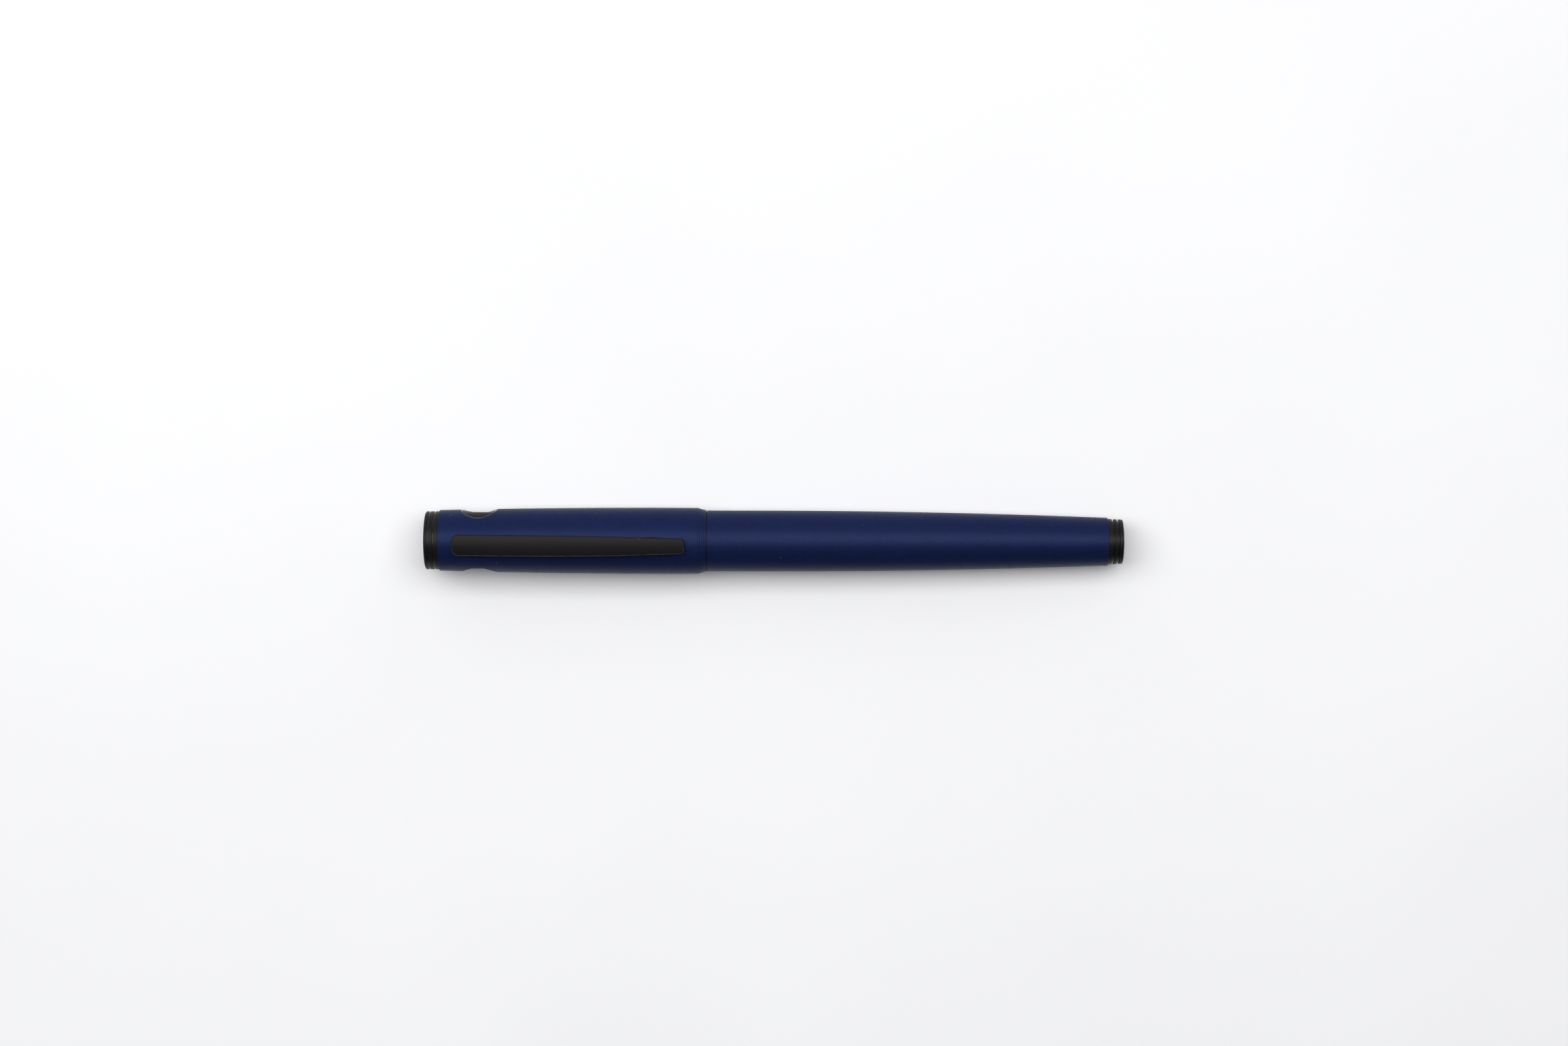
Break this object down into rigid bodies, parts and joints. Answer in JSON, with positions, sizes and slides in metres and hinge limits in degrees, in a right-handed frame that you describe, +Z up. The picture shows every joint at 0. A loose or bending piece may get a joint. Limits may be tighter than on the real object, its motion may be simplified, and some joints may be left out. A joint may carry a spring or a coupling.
{
  "type": "technical pen",
  "caption": "Capped technical drawing pen with a flat clip, tapered barrel, tubular point with drop weight, and a piston reservoir worked by a turning knob.",
  "frame": {"origin": "on the pen's axis, at the barrel's front face, where the cap's mouth meets the barrel", "axes": "+X along the pen from the cap to the tail, +Z up through the clip, +Y across, along the cap's cross hole"},
  "size_m": [0.1389, 0.0132, 0.0147],
  "materials": {
    "navy_lacquer": "matte lacquer",
    "black_coated_metal": "satin black coating",
    "clip_black": "matte black coating",
    "black_plastic": "moulded, semi-matte",
    "grey_plastic": "moulded, semi-matte",
    "ivory_plastic": "moulded, polished",
    "ring_orange": "moulded, polished",
    "clear_plastic": "clear moulded",
    "steel": "turned",
    "brass": "turned",
    "rubber": "matte"
  },
  "bodies": {
    "grip": {"grip_section": "black_plastic", "clutch_ring": "steel", "colour_ring": "ring_orange", "section_o_ring": "rubber", "ink_regulator": "black_plastic", "nib_body": "ivory_plastic", "nib_o_ring": "rubber", "drawing_tube": "steel", "safety_plug": "ivory_plastic"},
    "cap": {"cap_shell": "navy_lacquer", "inner_cap": "black_plastic", "cap_finial": "black_coated_metal", "finial_screw": "steel", "clip_pin": "steel", "seal_stop_ring": "steel", "seal_spring": "steel"},
    "clip": {"clip": "clip_black"},
    "seal_cup": {"seal_cup": "grey_plastic", "cap_seal": "rubber"},
    "drop_weight": {"drop_weight": "steel", "cleaning_wire": "steel"},
    "reservoir": {"reservoir_tube": "clear_plastic", "reservoir_collar": "steel", "reservoir_end_cap": "black_plastic"},
    "piston": {"piston": "grey_plastic", "piston_seals": "rubber"},
    "knob": {"spindle": "steel", "piston_knob": "black_plastic"},
    "barrel": {"barrel": "navy_lacquer", "barrel_bush": "brass", "tail_plug": "black_coated_metal", "tail_o_ring": "rubber"}
  },
  "joints": [
    {"name": "cap_pull", "type": "slide", "parent": "grip", "child": "cap", "axis": [-1, 0, 0], "range_m": [0, 0.06]},
    {"name": "clip_lift", "type": "hinge", "parent": "cap", "child": "clip", "pos_m": [-0.0463, 0, 0.004], "axis": [0, -1, 0], "range_deg": [0, 2.2], "stiffness_Nm_per_rad": 6},
    {"name": "seal_cup_push", "type": "slide", "parent": "cap", "child": "seal_cup", "axis": [-1, 0, 0], "range_m": [0, 0.0012], "stiffness_N_per_m": 400, "deforming": ["seal_spring"]},
    {"name": "weight_shake", "type": "slide", "parent": "grip", "child": "drop_weight", "axis": [1, 0, 0], "range_m": [0, 0.002]},
    {"name": "reservoir_pull", "type": "slide", "parent": "grip", "child": "reservoir", "axis": [1, 0, 0], "range_m": [0, 0.008]},
    {"name": "knob_turn", "type": "hinge", "parent": "reservoir", "child": "knob", "pos_m": [0.05, 0, 0], "axis": [-1, 0, 0], "range_deg": [0, 3168]},
    {"name": "piston_slide", "type": "slide", "parent": "reservoir", "child": "piston", "axis": [1, 0, 0], "range_m": [0, 0.022]},
    {"name": "barrel_pull", "type": "slide", "parent": "grip", "child": "barrel", "axis": [1, 0, 0], "range_m": [0, 0.085]}
  ],
  "couplings": [
    {"joint": "knob_turn", "follows": "piston_slide", "rad_per_m": 2513.3}
  ]
}
